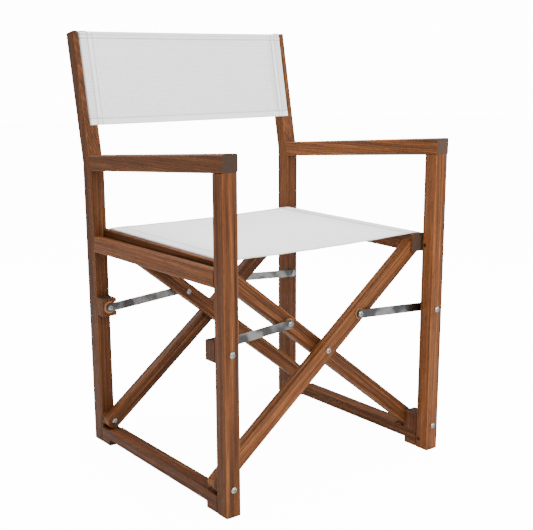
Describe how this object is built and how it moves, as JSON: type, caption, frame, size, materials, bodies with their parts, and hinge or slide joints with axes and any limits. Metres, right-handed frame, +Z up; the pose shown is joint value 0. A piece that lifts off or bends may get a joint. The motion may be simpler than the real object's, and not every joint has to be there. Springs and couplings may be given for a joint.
{
  "type": "folding director chair",
  "caption": "Folding wooden director chair with crossed bars that fold the two side frames together, a flat seat sling, a leaning back sling and slim armrests.",
  "frame": {"origin": "on the floor, under the middle of the chair's outer box", "axes": "+Z up, X across the chair with the sitter's right-hand side frame at -X, the front faces -Y"},
  "size_m": [0.55, 0.552, 0.87],
  "materials": {
    "teak": "oiled, satin, lightly rounded edges",
    "dark_peg": "dark end grain",
    "pale_disc": "plain turned wood",
    "steel": "polished stainless",
    "white_canvas": "close plain weave",
    "white_mesh": "fine open mesh, sewn bands"
  },
  "bodies": {
    "left_frame": {"front_leg_left": "teak", "rear_post_left": "teak", "armrest_left": "teak", "side_rail_left": "teak", "runner_left": "teak", "tenon_pegs_left": "dark_peg", "link_block_front_left": "teak", "link_block_rear_left": "teak", "pivot_bolts_left": "steel", "pivot_spacers_left": "teak", "link_bolts_left": "steel", "link_bushes_left": "pale_disc", "back_sling": "white_mesh"},
    "near_bars": {"bar_front_near": "teak", "bar_rear_near": "teak", "seat_rail_right": "teak", "centre_bolts": "steel", "centre_spacers": "pale_disc", "link_studs_right": "steel", "seat_sling": "white_canvas"},
    "far_bars": {"bar_front_far": "teak", "bar_rear_far": "teak", "seat_rail_left": "teak", "link_studs_left": "steel"},
    "right_frame": {"front_leg_right": "teak", "rear_post_right": "teak", "armrest_right": "teak", "side_rail_right": "teak", "runner_right": "teak", "tenon_pegs_right": "dark_peg", "pivot_block_front_right": "teak", "pivot_block_rear_right": "teak", "pivot_bolts_right": "steel", "link_bolts_right": "steel", "link_washers_right": "steel"},
    "link_front_left": {"link_front_left": "steel", "link_cap_front_left": "steel", "link_disc_front_left": "pale_disc"},
    "link_front_right": {"link_front_right": "steel", "link_cap_front_right": "steel", "link_disc_front_right": "pale_disc"},
    "link_rear_left": {"link_rear_left": "steel", "link_cap_rear_left": "steel", "link_disc_rear_left": "pale_disc"},
    "link_rear_right": {"link_rear_right": "steel", "link_cap_rear_right": "steel", "link_disc_rear_right": "pale_disc"}
  },
  "joints": [
    {"name": "fold", "type": "hinge", "parent": "left_frame", "child": "near_bars", "pos_m": [-0.259, 0, 0.0525], "axis": [0, -1, 0], "range_deg": [0, 35.2], "deforming": ["seat_sling", "back_sling"]},
    {"name": "cross_turn", "type": "hinge", "parent": "near_bars", "child": "far_bars", "pos_m": [0, 0, 0.256], "axis": [0, -1, 0], "range_deg": [-80.01, 0]},
    {"name": "right_foot_turn", "type": "hinge", "parent": "far_bars", "child": "right_frame", "pos_m": [0.259, 0, 0.0525], "axis": [0, -1, 0], "range_deg": [0, 35.21]},
    {"name": "link_front_left_turn", "type": "hinge", "parent": "left_frame", "child": "link_front_left", "pos_m": [-0.259, 0, 0.305], "axis": [0, -1, 0], "range_deg": [0, 63.8]},
    {"name": "link_front_right_turn", "type": "hinge", "parent": "right_frame", "child": "link_front_right", "pos_m": [0.259, 0, 0.305], "axis": [0, -1, 0], "range_deg": [-63.8, 0]},
    {"name": "link_rear_left_turn", "type": "hinge", "parent": "left_frame", "child": "link_rear_left", "pos_m": [-0.259, 0, 0.305], "axis": [0, -1, 0], "range_deg": [0, 63.8]},
    {"name": "link_rear_right_turn", "type": "hinge", "parent": "right_frame", "child": "link_rear_right", "pos_m": [0.259, 0, 0.305], "axis": [0, -1, 0], "range_deg": [-63.8, 0]}
  ],
  "couplings": [
    {"joint": "cross_turn", "follows": "fold", "ratio": -2.2727},
    {"joint": "right_foot_turn", "follows": "fold", "ratio": 1},
    {"joint": "link_front_left_turn", "follows": "fold", "ratio": 1.81},
    {"joint": "link_front_right_turn", "follows": "fold", "ratio": -1.81},
    {"joint": "link_rear_left_turn", "follows": "fold", "ratio": 1.81},
    {"joint": "link_rear_right_turn", "follows": "fold", "ratio": -1.81}
  ]
}
